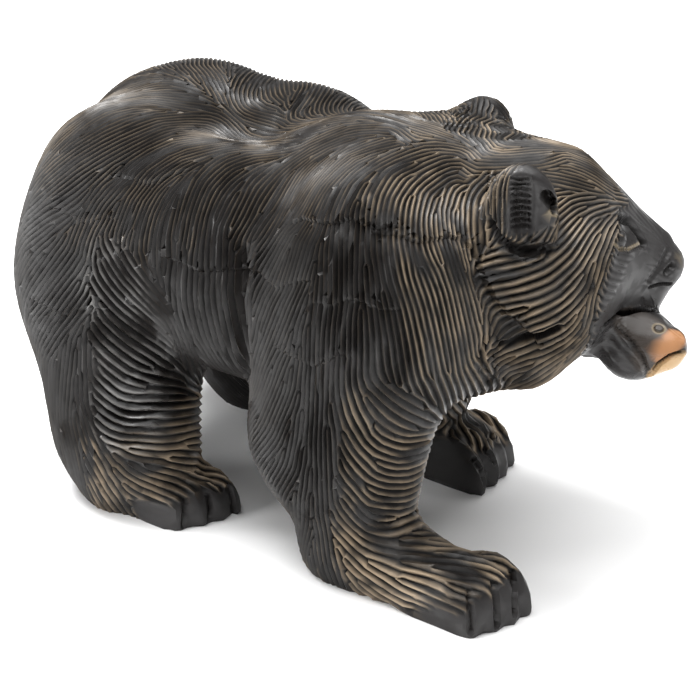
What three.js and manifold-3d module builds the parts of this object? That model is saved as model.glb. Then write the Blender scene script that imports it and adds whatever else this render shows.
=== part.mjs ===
// A carved wooden bear that stands on four feet with a fish across its mouth.
// One block of wood, so one closed body. Millimetres, +Z up, +X ahead of the bear, +Y to its left.
// The body is a field of rounded masses that melt into each other. It is skinned on a fine grid,
// thinned to large facets where the form is plain, and cut flat under the soles.

import * as THREE from "three";
import { mergeVertices } from "three/addons/utils/BufferGeometryUtils.js";
import Module from "manifold-3d";

// Driving dimensions. The carving comes out 344 long, 196 across the paws and 221 to the shoulder hump.
const HAUNCH_HEIGHT = 140;
const SHOULDER_HEIGHT = 148;
const RIB_HEIGHT = 144;
const BELLY_HEIGHT = 131;
const KNEE_HEIGHT = 110;
const HOCK_HEIGHT = 38;
const HALF_HAUNCH_SPREAD = 35;
const HALF_FLANK_SPREAD = 40;
const RIGHT_FLANK_RISE = 1;
const LEFT_FLANK_RISE = 6;
const HALF_HIND_TRACK = 64;
const TOE_COUNT = 4;
const TOE_WIDTH = 13.2;
const FRONT_TOE_HEIGHT = 28;
const HIND_TOE_HEIGHT = 23;
const LEFT_HIND_PAW_BACK = 8;
const HALF_HEAD_WIDTH = 57;
const HALF_RUFF_WIDTH = 62;
const HALF_EAR_SPREAD = 47;
const RIGHT_EAR_RADIUS = 18;
const LEFT_EAR_RADIUS = 22;
const RIGHT_EAR_HEIGHT = 37;
const LEFT_EAR_HEIGHT = 34;
const FISH_THICKNESS = 36;
const FISH_LEVEL = -44;

// The head is turned to the bear's left; its own frame is ahead, left, up from between the ears
const HEAD_YAW = 45;
const HEAD_AT = [62, 26, 158];

// How finely the form is skinned, how many facets are kept, and what is carved off under the soles
const GRID_STEP = 3;
const FACET_BUDGET = 8600;
const SOLE_CUT = 4;

const RIGHT = -1;
const LEFT = 1;

const radians = THREE.MathUtils.degToRad;

const bodyFrame = new THREE.Matrix4();
const headFrame = new THREE.Matrix4()
  .makeTranslation(...HEAD_AT)
  .multiply(new THREE.Matrix4().makeRotationZ(radians(HEAD_YAW)));

// Every form is a distance from its skin, and how softly it melts into what is already there
const forms = [];

function addForm(frame, centre, reach, blend, distance) {
  const middle = new THREE.Vector3(...centre).applyMatrix4(frame);
  forms.push({ middle, reach, blend, distance });
}

// Distance to an ellipsoid, good near its skin
function ellipsoidDistance(u, v, w, [rx, ry, rz]) {
  const scaled = Math.hypot(u / rx, v / ry, w / rz);
  const slope = Math.hypot(u / rx ** 2, v / ry ** 2, w / rz ** 2);
  return slope > 0 ? scaled * (scaled - 1) / slope : -Math.min(rx, ry, rz);
}

// A rounded lump: yaw about up, pitch nose down, roll about ahead, in degrees
function lump(centre, radii, blend, { yaw = 0, pitch = 0, roll = 0, frame = bodyFrame } = {}) {
  const turn = new THREE.Euler(radians(roll), radians(pitch), radians(yaw), "ZYX");
  const place = frame.clone()
    .multiply(new THREE.Matrix4().makeTranslation(...centre))
    .multiply(new THREE.Matrix4().makeRotationFromEuler(turn));
  const e = place.invert().elements;
  addForm(frame, centre, Math.max(...radii), blend, (x, y, z) => ellipsoidDistance(
    e[0] * x + e[4] * y + e[8] * z + e[12],
    e[1] * x + e[5] * y + e[9] * z + e[13],
    e[2] * x + e[6] * y + e[10] * z + e[14],
    radii,
  ));
}

// A hollow scooped out in the shape of a lump
function hollow(centre, radii, blend, options) {
  lump(centre, radii, blend, options);
  forms.at(-1).hollow = true;
}

// A limb between two points, thick at each end, narrower from side to side by the factor slim
function limb(from, to, thickFrom, thickTo, blend, { slim = 1, frame = bodyFrame } = {}) {
  const start = new THREE.Vector3(...from);
  const axis = new THREE.Vector3(...to).sub(start);
  const lengthSquared = axis.lengthSq();
  const e = frame.clone().invert().elements;
  const centre = start.clone().addScaledVector(axis, 0.5).toArray();
  const reach = Math.sqrt(lengthSquared) / 2 + Math.max(thickFrom, thickTo);
  addForm(frame, centre, reach, blend, (x, y, z) => {
    const u = e[0] * x + e[4] * y + e[8] * z + e[12] - start.x;
    const v = e[1] * x + e[5] * y + e[9] * z + e[13] - start.y;
    const w = e[2] * x + e[6] * y + e[10] * z + e[14] - start.z;
    const dot = (u * axis.x + v * axis.y + w * axis.z) / lengthSquared;
    const along = Math.min(1, Math.max(0, dot));
    const side = (v - axis.y * along) / slim;
    const away = Math.hypot(u - axis.x * along, side, w - axis.z * along);
    return away - (thickFrom + (thickTo - thickFrom) * along);
  });
}

function addTrunk() {
  for (const side of [RIGHT, LEFT]) {
    lump([-120, side * HALF_HAUNCH_SPREAD, HAUNCH_HEIGHT], [63, 46, 70], 14);
    lump([-138, side * (HALF_HAUNCH_SPREAD + 7), KNEE_HEIGHT - 4], [55, 38, 64], 14);
    const rise = side === LEFT ? LEFT_FLANK_RISE : RIGHT_FLANK_RISE;
    lump([-66, side * HALF_FLANK_SPREAD, RIB_HEIGHT + rise], [66, 40, 59], 12);
    lump([30, side * HALF_FLANK_SPREAD, SHOULDER_HEIGHT], [54, 40, 66], 18);
  }
  const rump = [-122, 10, HAUNCH_HEIGHT + 8];
  const belly = [-30, 0, BELLY_HEIGHT];
  const hump = [8, 0, SHOULDER_HEIGHT + 24];
  const chest = [46, 4, SHOULDER_HEIGHT - 12];
  lump(rump, [66, 56, 67], 14);
  lump(belly, [92, 64, 66], 18);
  lump(hump, [60, 46, 49], 18);
  lump(chest, [42, 52, 52], 18);
}

// A paw: a wedge from the heel to the toes, and blocky toes with a cut between them.
// The middle toes reach a little further than the line between the outer and the inner tip.
function paw(heel, outerTip, innerTip, toeHeight, ankleThickness) {
  for (let toe = 0; toe < TOE_COUNT; toe++) {
    const share = toe / (TOE_COUNT - 1);
    const bow = Math.sin(Math.PI * (0.25 + 0.6 * share)) * 5 - 3;
    const x = THREE.MathUtils.lerp(outerTip[0], innerTip[0], share) + bow;
    const y = THREE.MathUtils.lerp(outerTip[1], innerTip[1], share);
    lump([x - 22, y, 2], [22, TOE_WIDTH / 2, toeHeight], 3);
  }
  const knuckles = [(outerTip[0] + innerTip[0]) / 2 - 26, (outerTip[1] + innerTip[1]) / 2, 8];
  limb([...heel, 16], knuckles, ankleThickness, toeHeight - 8, 8, { slim: 0.82 });
}

// The right foreleg steps ahead, the left one stands back, the hind legs stand side by side
function addLegs() {
  limb([24, -44, 128], [16, -50, 70], 52, 46, 12, { slim: 0.74 });
  limb([16, -50, 70], [30, -52, 30], 46, 32, 12, { slim: 0.72 });
  paw([27, -52], [111, -67], [124, -37], FRONT_TOE_HEIGHT, 30);

  limb([18, 44, 120], [-8, 52, 60], 46, 36, 12, { slim: 0.78 });
  limb([-8, 52, 60], [-10, 56, 28], 36, 28, 12, { slim: 0.8 });
  paw([-10, 57], [44, 78], [48, 44], FRONT_TOE_HEIGHT, 26);

  for (const [side, back] of [[RIGHT, 0], [LEFT, LEFT_HIND_PAW_BACK]]) {
    const knee = [-128, side * (HALF_HIND_TRACK - 18), KNEE_HEIGHT];
    const hock = [-112 - back, side * (HALF_HIND_TRACK - 2), HOCK_HEIGHT];
    const heel = [-108 - back, side * HALF_HIND_TRACK];
    const outerTip = [-63 - back, side * (HALF_HIND_TRACK + 11)];
    const innerTip = [-47 - back, side * (HALF_HIND_TRACK - 18)];
    limb(knee, hock, 52, 45, 12, { slim: 0.72 });
    paw(heel, outerTip, innerTip, HIND_TOE_HEIGHT, 31);
  }
}

// Neck, round head, the ruff that stands proud of the neck, the straight bridge from brow to nose,
// the upper lip, the nose, the lower jaw and two cupped ears
function addHead() {
  const nape = [24, 2, 154];
  const skull = [54, 18, 148];
  limb(nape, skull, HALF_HEAD_WIDTH, HALF_HEAD_WIDTH, 18);
  const onHead = { frame: headFrame };
  lump([11, 0, -7], [50, HALF_HEAD_WIDTH, 57], 10, onHead);
  lump([11, 0, -12], [32, HALF_RUFF_WIDTH, 61], 4, { ...onHead, pitch: 8 });
  limb([25, 0, 1], [75, 0, -16], 46, 16, 8, onHead);
  limb([50, 0, -18], [72, -3, -30], 20, 10, 5, { ...onHead, slim: 1.25 });
  lump([81, 0, -16], [11, 12, 9], 4, onHead);
  limb([24, 0, -44], [55, 0, -59], 15, 8, 5, { ...onHead, slim: 1.3 });
  for (const side of [RIGHT, LEFT]) {
    const turned = { ...onHead, yaw: side * 25 };
    const radius = side === LEFT ? LEFT_EAR_RADIUS : RIGHT_EAR_RADIUS;
    const height = side === LEFT ? LEFT_EAR_HEIGHT : RIGHT_EAR_HEIGHT;
    lump([radius / 2 - 14, side * HALF_EAR_SPREAD, height], [radius, 13, 26], 5, turned);
    hollow([radius / 2 - 10, side * (HALF_EAR_SPREAD + 11), height + 1], [12, 8, 19], 3, turned);
  }
}

// The fish bends round the front of the mouth, its snout to the bear's right
function addFish() {
  const onHead = { frame: headFrame };
  const thick = FISH_THICKNESS / 2;
  const bite = [55, 6, FISH_LEVEL];
  const gills = [62, -25, FISH_LEVEL - 2];
  const snout = [72, -38, FISH_LEVEL + 1];
  const tail = [62, 34, FISH_LEVEL];
  limb(bite, gills, thick - 2, thick, 3, onHead);
  limb(gills, snout, thick, 12, 6, onHead);
  limb(bite, tail, thick - 2, 8, 3, onHead);
}

addTrunk();
addLegs();
addHead();
addFish();

// Blend of two distances that rounds the crease between them
function smoothMin(a, b, radius) {
  const h = Math.max(radius - Math.abs(a - b), 0) / radius;
  return Math.min(a, b) - h * h * radius / 4;
}

const FAR = 60;

function field(x, y, z) {
  let nearest = FAR;
  for (const { middle, reach, blend, distance, hollow } of forms) {
    const away = Math.hypot(x - middle.x, y - middle.y, z - middle.z) - reach;
    if (away > FAR / 2 && away > nearest + blend) {
      continue;
    }
    nearest = hollow
      ? -smoothMin(-nearest, distance(x, y, z), blend)
      : smoothMin(nearest, distance(x, y, z), blend);
  }
  return Math.max(nearest, -SOLE_CUT - z);
}

// Skin of the field: one vertex in each grid cell that the surface crosses, a quad on each crossed edge
function skin(low, high, step) {
  const [nx, ny, nz] = low.map((value, axis) => Math.ceil((high[axis] - value) / step) + 1);
  const values = new Float32Array(nx * ny * nz);
  const index = (i, j, k) => (k * ny + j) * nx + i;
  for (let k = 0; k < nz; k++) {
    for (let j = 0; j < ny; j++) {
      for (let i = 0; i < nx; i++) {
        values[index(i, j, k)] = field(low[0] + i * step, low[1] + j * step, low[2] + k * step);
      }
    }
  }
  fillPinches(values, index, [nx, ny, nz]);
  const cellVertex = new Int32Array(nx * ny * nz).fill(-1);
  const positions = [];
  for (let k = 0; k < nz - 1; k++) {
    for (let j = 0; j < ny - 1; j++) {
      for (let i = 0; i < nx - 1; i++) {
        const crossing = meanCrossing(values, index, [i, j, k]);
        if (crossing) {
          cellVertex[index(i, j, k)] = positions.length / 3;
          positions.push(...crossing.map((value, axis) => low[axis] + value * step));
        }
      }
    }
  }
  const triangles = [];
  for (let k = 1; k < nz - 1; k++) {
    for (let j = 1; j < ny - 1; j++) {
      for (let i = 1; i < nx - 1; i++) {
        addQuads(triangles, values, index, cellVertex, [i, j, k]);
      }
    }
  }
  return { positions, triangles };
}

// The corners of a cell on one side of the surface hang together if each can be reached along its edges
function hangTogether(corners) {
  if (corners.length < 2) {
    return true;
  }
  const reached = [corners[0]];
  for (const corner of reached) {
    for (const bit of [1, 2, 4]) {
      const next = corner ^ bit;
      if (corners.includes(next) && !reached.includes(next)) {
        reached.push(next);
      }
    }
  }
  return reached.length === corners.length;
}

// Where the skin would touch itself at a point or an edge, the cell is filled with wood
function fillPinches(values, index, [nx, ny, nz]) {
  const cornerIndex = (i, j, k, c) => index(i + (c & 1), j + ((c >> 1) & 1), k + ((c >> 2) & 1));
  const corners = [0, 1, 2, 3, 4, 5, 6, 7];
  let filled = true;
  while (filled) {
    filled = false;
    for (let k = 0; k < nz - 1; k++) {
      for (let j = 0; j < ny - 1; j++) {
        for (let i = 0; i < nx - 1; i++) {
          const inside = corners.filter((c) => values[cornerIndex(i, j, k, c)] < 0);
          if (inside.length < 2 || inside.length > 6) {
            continue;
          }
          const outside = corners.filter((c) => !inside.includes(c));
          if (hangTogether(inside) && hangTogether(outside)) {
            continue;
          }
          outside.forEach((c) => {
            values[cornerIndex(i, j, k, c)] = -0.1 * GRID_STEP;
          });
          filled = true;
        }
      }
    }
  }
}

// Mean of the points where the surface crosses the twelve edges of a cell
function meanCrossing(values, index, [i, j, k]) {
  const sum = [0, 0, 0];
  let count = 0;
  for (let corner = 0; corner < 8; corner++) {
    const from = [corner & 1, (corner >> 1) & 1, (corner >> 2) & 1];
    const here = values[index(i + from[0], j + from[1], k + from[2])];
    for (let axis = 0; axis < 3; axis++) {
      if (from[axis] === 1) {
        continue;
      }
      const to = [...from];
      to[axis] = 1;
      const there = values[index(i + to[0], j + to[1], k + to[2])];
      if ((here < 0) === (there < 0)) {
        continue;
      }
      from.forEach((value, a) => {
        sum[a] += a === axis ? here / (here - there) : value;
      });
      count++;
    }
  }
  return count > 0 ? sum.map((value, a) => [i, j, k][a] + value / count) : null;
}

// One quad for each of the three grid edges that leave a grid point, where the surface crosses it
function addQuads(triangles, values, index, cellVertex, point) {
  const here = values[index(...point)];
  for (let axis = 0; axis < 3; axis++) {
    const first = (axis + 1) % 3;
    const second = (axis + 2) % 3;
    const next = [...point];
    next[axis] += 1;
    const there = values[index(...next)];
    if ((here < 0) === (there < 0)) {
      continue;
    }
    const corner = (back1, back2) => {
      const cell = [...point];
      cell[first] -= back1;
      cell[second] -= back2;
      return cellVertex[index(...cell)];
    };
    const quad = [corner(1, 1), corner(0, 1), corner(0, 0), corner(1, 0)];
    if (here >= 0) {
      quad.reverse();
    }
    triangles.push(quad[0], quad[1], quad[2], quad[0], quad[2], quad[3]);
  }
}

// Thinning: the edge whose loss moves the skin least is collapsed, again and again
class Thinner {
  constructor({ positions, triangles }) {
    this.points = [];
    for (let v = 0; v < positions.length; v += 3) {
      this.points.push(new THREE.Vector3(positions[v], positions[v + 1], positions[v + 2]));
    }
    this.faces = [];
    this.facesOf = this.points.map(() => new Set());
    this.error = this.points.map(() => new Float64Array(10));
    this.stamp = new Int32Array(this.points.length);
    for (let t = 0; t < triangles.length; t += 3) {
      const face = [triangles[t], triangles[t + 1], triangles[t + 2]];
      face.forEach((v) => this.facesOf[v].add(this.faces.length));
      this.faces.push(face);
      this.addPlaneError(face);
    }
    this.count = this.faces.length;
    this.heap = [];
    for (const [a, b, c] of this.faces) {
      for (const [from, to] of [[a, b], [b, c], [c, a]]) {
        if (from < to) {
          this.offer(from, to);
        }
      }
    }
  }

  normal([a, b, c], moved = -1, target = null) {
    const p = [a, b, c].map((v) => (v === moved ? target : this.points[v]));
    return p[1].clone().sub(p[0]).cross(p[2].clone().sub(p[0]));
  }

  // The squared distance to the face's plane, as a quadric on each of its corners
  addPlaneError(face) {
    const n = this.normal(face);
    const area = n.length();
    n.divideScalar(area || 1);
    const d = -n.dot(this.points[face[0]]);
    const plane = [n.x, n.y, n.z, d];
    face.forEach((v) => {
      let slot = 0;
      for (let i = 0; i < 4; i++) {
        for (let j = i; j < 4; j++) {
          this.error[v][slot++] += area * plane[i] * plane[j];
        }
      }
    });
  }

  static cost(q, p) {
    return q[0] * p.x * p.x + 2 * q[1] * p.x * p.y + 2 * q[2] * p.x * p.z + 2 * q[3] * p.x
      + q[4] * p.y * p.y + 2 * q[5] * p.y * p.z + 2 * q[6] * p.y
      + q[7] * p.z * p.z + 2 * q[8] * p.z + q[9];
  }

  // The best place for the merged corner: the quadric's lowest point, or the middle of the edge
  place(a, b) {
    const q = this.error[a].map((value, slot) => value + this.error[b][slot]);
    const matrix = new THREE.Matrix3().set(q[0], q[1], q[2], q[1], q[4], q[5], q[2], q[5], q[7]);
    const middle = this.points[a].clone().add(this.points[b]).multiplyScalar(0.5);
    let best = middle;
    const scale = (q[0] + q[4] + q[7]) ** 3;
    if (Math.abs(matrix.determinant()) > 1e-4 * scale) {
      const lowest = new THREE.Vector3(-q[3], -q[6], -q[8]).applyMatrix3(matrix.invert());
      if (lowest.distanceTo(middle) < 2 * this.points[a].distanceTo(this.points[b])) {
        best = lowest;
      }
    }
    const length = this.points[a].distanceToSquared(this.points[b]);
    return { best, cost: Math.max(0, Thinner.cost(q, best)) + 1e-4 * length * length };
  }

  offer(a, b) {
    const { best, cost } = this.place(a, b);
    const entry = { a, b, best, cost, stamp: this.stamp[a] + this.stamp[b] };
    let child = this.heap.push(entry) - 1;
    while (child > 0) {
      const parent = (child - 1) >> 1;
      if (this.heap[parent].cost <= cost) {
        break;
      }
      this.heap[child] = this.heap[parent];
      child = parent;
    }
    this.heap[child] = entry;
  }

  take() {
    const top = this.heap[0];
    const last = this.heap.pop();
    const size = this.heap.length;
    if (size > 0) {
      let hole = 0;
      while (2 * hole + 1 < size) {
        let child = 2 * hole + 1;
        if (child + 1 < size && this.heap[child + 1].cost < this.heap[child].cost) {
          child++;
        }
        if (last.cost <= this.heap[child].cost) {
          break;
        }
        this.heap[hole] = this.heap[child];
        hole = child;
      }
      this.heap[hole] = last;
    }
    return top;
  }

  neighbours(v) {
    const around = new Set();
    for (const f of this.facesOf[v]) {
      this.faces[f].forEach((other) => around.add(other));
    }
    around.delete(v);
    return around;
  }

  // A collapse is sound if it pinches nothing and turns no face over
  isSound({ a, b, best }) {
    const aroundA = this.neighbours(a);
    const shared = [...this.neighbours(b)].filter((v) => aroundA.has(v));
    if (shared.length !== 2) {
      return false;
    }
    for (const [moved, other] of [[a, b], [b, a]]) {
      for (const f of this.facesOf[moved]) {
        if (this.faces[f].includes(other)) {
          continue;
        }
        const before = this.normal(this.faces[f]);
        const after = this.normal(this.faces[f], moved, best);
        if (before.dot(after) < 0.3 * before.length() * after.length()) {
          return false;
        }
      }
    }
    return true;
  }

  collapse({ a, b, best }) {
    for (const f of [...this.facesOf[b]]) {
      const face = this.faces[f];
      if (face.includes(a)) {
        face.forEach((v) => this.facesOf[v].delete(f));
        this.faces[f] = null;
        this.count--;
      } else {
        face[face.indexOf(b)] = a;
        this.facesOf[a].add(f);
      }
    }
    this.facesOf[b] = new Set();
    this.points[a] = best;
    this.error[b].forEach((value, slot) => {
      this.error[a][slot] += value;
    });
    this.stamp[a]++;
    this.stamp[b] = -1e9;
    for (const v of this.neighbours(a)) {
      this.offer(a, v);
    }
  }

  run(target) {
    while (this.count > target && this.heap.length > 0) {
      const edge = this.take();
      const fresh = edge.stamp === this.stamp[edge.a] + this.stamp[edge.b];
      if (fresh && this.isSound(edge)) {
        this.collapse(edge);
      }
    }
    const renumber = new Map();
    const positions = [];
    const triangles = [];
    for (const face of this.faces) {
      for (const v of face ?? []) {
        if (!renumber.has(v)) {
          renumber.set(v, positions.length / 3);
          positions.push(...this.points[v].toArray());
        }
        triangles.push(renumber.get(v));
      }
    }
    return { positions, triangles };
  }
}

const wasm = await Module();
wasm.setup();

function toSolid(geometry) {
  return new wasm.Manifold(new wasm.Mesh({
    numProp: 3,
    vertProperties: new Float32Array(geometry.attributes.position.array),
    triVerts: new Uint32Array(geometry.index.array),
  }));
}

function fromTriangles(positions, triangles) {
  const geometry = new THREE.BufferGeometry();
  geometry.setAttribute("position", new THREE.Float32BufferAttribute(positions, 3));
  geometry.setIndex(Array.from(triangles));
  return geometry;
}

// What lies below the floor is cut away, so that each sole is one flat face
function cutSoles(geometry) {
  const block = new THREE.BoxGeometry(600, 400, 60).translate(0, 0, -30);
  block.deleteAttribute("normal");
  block.deleteAttribute("uv");
  const mesh = toSolid(geometry).subtract(toSolid(mergeVertices(block))).getMesh();
  return fromTriangles(mesh.vertProperties, mesh.triVerts);
}

const low = [-215, -105, -SOLE_CUT - 3 * GRID_STEP];
const high = [180, 150, 250];
const thinned = new Thinner(skin(low, high, GRID_STEP)).run(FACET_BUDGET);
const body = cutSoles(fromTriangles(thinned.positions, thinned.triangles));
body.computeVertexNormals();
body.computeBoundingBox();

// The origin is on the floor, under the middle of the whole carving
const middle = body.boundingBox.getCenter(new THREE.Vector3());
body.translate(-middle.x, -middle.y, 0);

const stainedWood = new THREE.MeshStandardMaterial({ color: 0x1d1a17, roughness: 0.45, metalness: 0 });
const bear = new THREE.Mesh(body, stainedWood);
bear.name = "carved_bear";

const group = new THREE.Group();
group.add(bear);
export default group;
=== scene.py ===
# %% [markdown]
# # A carved wooden bear with a salmon in its jaws
# The real object is one block of wood. A carver roughs out the animal with an axe and wide chisels,
# then covers it with long parallel gouge strokes that follow the fur, stains it black-brown and
# rubs the tops of the strokes until pale wood shows. This lesson does the same things in the same
# order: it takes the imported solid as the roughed-out block, softens it, cuts the face, lays out the
# direction of the fur, cuts every stroke as real geometry, and stains the result.

import math
from collections import namedtuple

import bpy
import numpy as np
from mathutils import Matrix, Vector
from mathutils.bvhtree import BVHTree
from mathutils.kdtree import KDTree


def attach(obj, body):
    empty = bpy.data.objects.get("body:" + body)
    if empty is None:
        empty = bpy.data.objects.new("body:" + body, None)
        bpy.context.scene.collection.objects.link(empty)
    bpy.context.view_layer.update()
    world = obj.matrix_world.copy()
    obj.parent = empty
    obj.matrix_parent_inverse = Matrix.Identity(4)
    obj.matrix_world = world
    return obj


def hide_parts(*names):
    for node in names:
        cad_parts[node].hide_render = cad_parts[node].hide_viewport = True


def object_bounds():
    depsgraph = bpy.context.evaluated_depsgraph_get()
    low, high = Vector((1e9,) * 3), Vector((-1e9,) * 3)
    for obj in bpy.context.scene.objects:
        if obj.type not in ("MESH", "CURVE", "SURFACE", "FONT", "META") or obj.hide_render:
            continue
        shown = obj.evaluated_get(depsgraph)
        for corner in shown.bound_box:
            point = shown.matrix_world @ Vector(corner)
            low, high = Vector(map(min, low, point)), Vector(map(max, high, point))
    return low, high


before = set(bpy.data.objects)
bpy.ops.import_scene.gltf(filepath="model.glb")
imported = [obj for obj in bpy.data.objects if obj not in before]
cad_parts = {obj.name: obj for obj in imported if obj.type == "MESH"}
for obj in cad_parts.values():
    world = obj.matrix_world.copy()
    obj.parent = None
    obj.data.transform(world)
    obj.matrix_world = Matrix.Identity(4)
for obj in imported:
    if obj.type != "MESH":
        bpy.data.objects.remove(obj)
cad_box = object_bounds()
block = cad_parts["carved_bear"]
MM = 0.001
block_size = [round(v / MM) for v in cad_box[1] - cad_box[0]]
print("block", len(block.data.polygons), "triangles, mm:", block_size)

# %% [markdown]
# ## The camera
# The camera stands where the photographer's did: in front of the right shoulder and well above it.
# It comes first because the fur is drawn in the picture's own pixels and projected onto the block.

# %% Camera
FRAME_PIXELS = 700
FOCAL_PIXELS = 2000
SENSOR_WIDTH = 36
CAMERA_DISTANCE = 1.0
LOOK_AT = Vector((0.0209, -0.020, 0.100))
AZIMUTH = math.radians(35)
ELEVATION = math.radians(28)

backward = Vector((
    math.sin(AZIMUTH) * math.cos(ELEVATION),
    -math.cos(AZIMUTH) * math.cos(ELEVATION),
    math.sin(ELEVATION),
))
rightward = Vector((math.cos(AZIMUTH), math.sin(AZIMUTH), 0))
upward = backward.cross(rightward)
eye_place = LOOK_AT + backward * CAMERA_DISTANCE

camera = bpy.data.objects.new("camera", bpy.data.cameras.new("camera"))
bpy.context.scene.collection.objects.link(camera)
camera.rotation_mode = "QUATERNION"
camera.location = eye_place
camera.rotation_quaternion = (-backward).to_track_quat("-Z", "Y")
camera.data.sensor_width = SENSOR_WIDTH
camera.data.lens = SENSOR_WIDTH * FOCAL_PIXELS / FRAME_PIXELS
camera.data.clip_start = 0.05
bpy.context.scene.camera = camera
print("camera at", [round(v, 3) for v in camera.location])

# %% [markdown]
# ## The softened block
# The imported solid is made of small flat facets. A carver would call it roughed out. A copy of it is
# merged into one skin, remeshed into even squares and relaxed a little, which takes the facets away
# and leaves the animal's masses where they were.

# %% Helpers: one selected object, one applied modifier


def select_only(obj):
    """Deselect everything, then select obj and make it active."""
    bpy.ops.object.select_all(action="DESELECT")
    obj.select_set(True)
    bpy.context.view_layer.objects.active = obj


def apply_modifier(obj, kind, **settings):
    """Add one modifier, set it and apply it at once."""
    select_only(obj)
    modifier = obj.modifiers.new(kind.lower(), kind)
    for name, value in settings.items():
        setattr(modifier, name, value)
    bpy.ops.object.modifier_apply(modifier=modifier.name)


# %% Copy, merge and soften the block
MERGE_DISTANCE = 0.01 * MM
FORM_VOXEL = 2.0 * MM
RELAX_ROUNDS = 5

bear = block.copy()
bear.data = block.data.copy()
bear.name = "carved_bear_fur"
bear.parent = None
for key in list(bear.keys()):
    del bear[key]
bpy.context.scene.collection.objects.link(bear)
select_only(bear)
bpy.ops.object.mode_set(mode="EDIT")
bpy.ops.mesh.select_all(action="SELECT")
bpy.ops.mesh.remove_doubles(threshold=MERGE_DISTANCE)
bpy.ops.object.mode_set(mode="OBJECT")
apply_modifier(bear, "REMESH", mode="VOXEL", voxel_size=FORM_VOXEL)
apply_modifier(bear, "SMOOTH", factor=0.5, iterations=RELAX_ROUNDS)
print("softened block", len(bear.data.polygons), "squares")

# %% [markdown]
# ## Measuring helpers
# From here on the surface is handled as arrays of points in millimetres, the way a sculpting brush
# sees it: each point moves along its own normal.

# %% Points, triangles, normals and edges as arrays


def read_mesh(obj):
    """The object's points in millimetres and its triangles."""
    mesh = obj.data
    mesh.calc_loop_triangles()
    points = np.empty(len(mesh.vertices) * 3, np.float32)
    mesh.vertices.foreach_get("co", points)
    triangles = np.empty(len(mesh.loop_triangles) * 3, np.int32)
    mesh.loop_triangles.foreach_get("vertices", triangles)
    return points.reshape(-1, 3).astype(float) / MM, triangles.reshape(-1, 3).astype(int)


def unit(vectors):
    """Vectors of length one."""
    return vectors / np.maximum(np.linalg.norm(vectors, axis=-1, keepdims=True), 1e-9)


def normals_of(points, triangles):
    """Outward direction at each point, from the triangles around it."""
    a, b, c = (points[triangles[:, corner]] for corner in range(3))
    facing = np.cross(b - a, c - a)
    total = np.zeros_like(points)
    for axis in range(3):
        for corner in range(3):
            total[:, axis] += np.bincount(triangles[:, corner], facing[:, axis], len(points))
    return unit(total)


def edges_of(triangles):
    """Each edge once, and for each triangle the number of the edge on its three sides."""
    sides = np.concatenate([triangles[:, [0, 1]], triangles[:, [1, 2]], triangles[:, [2, 0]]])
    sides.sort(axis=1)
    count = triangles.max() + 1
    keys, number = np.unique(sides[:, 0] * count + sides[:, 1], return_inverse=True)
    return np.stack([keys // count, keys % count], axis=1), number.reshape(3, -1).T


def average_round(values, edges, weights, own=1.0):
    """One round of averaging each point's value with its neighbours'."""
    i, j = edges.T
    total = own * values
    share = np.full(len(values), own)
    for near, far in ((i, j), (j, i)):
        total = total + np.bincount(near, weights * values[far], len(values))
        share = share + np.bincount(near, weights, len(values))
    return total / share


form_points, form_triangles = read_mesh(bear)
form_normals = normals_of(form_points, form_triangles)
form_tree = BVHTree.FromPolygons(form_points.tolist(), form_triangles.tolist())
print("form", len(form_points), "points")

# %% [markdown]
# ## The fur, drawn as strokes
# Each list below is a run of gouge strokes as the carver would pencil them on the block before
# cutting: from the root of the hair to its tip, in pixels of the picture. Every group says how far
# apart its cuts are and how deep, in millimetres, and how much of the stain is rubbed off its tops.

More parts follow.
